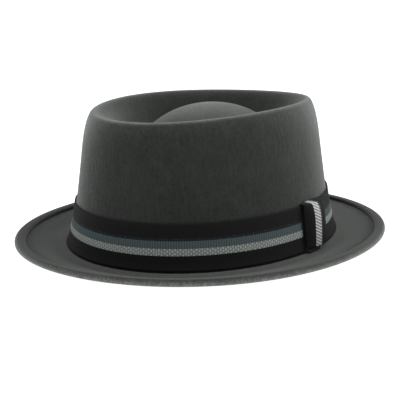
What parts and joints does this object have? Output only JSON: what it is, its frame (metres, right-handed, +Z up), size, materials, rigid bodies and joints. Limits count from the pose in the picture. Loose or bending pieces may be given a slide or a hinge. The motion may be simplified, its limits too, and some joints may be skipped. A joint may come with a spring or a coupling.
{
  "type": "porkpie hat",
  "caption": "Low felt hat with a nearly level crown rim, a sunken gutter round a domed tip, a narrow welted brim and a striped ribbon with a flat bow.",
  "frame": {"origin": "under the middle of the hat, on the surface that the brim rests on", "axes": "+Z up, front of the hat towards -Y, wearer's left towards +X"},
  "size_m": [0.246, 0.2769, 0.0945],
  "materials": {
    "felt": "matt charcoal wool felt with a short nap",
    "ribbon": "black grosgrain ribbon with slate and silver stripes"
  },
  "bodies": {
    "root": {"felt_body": "felt", "ribbon_band": "ribbon", "bow_keeper": "ribbon", "bow_underlay": "ribbon"}
  },
  "joints": []
}
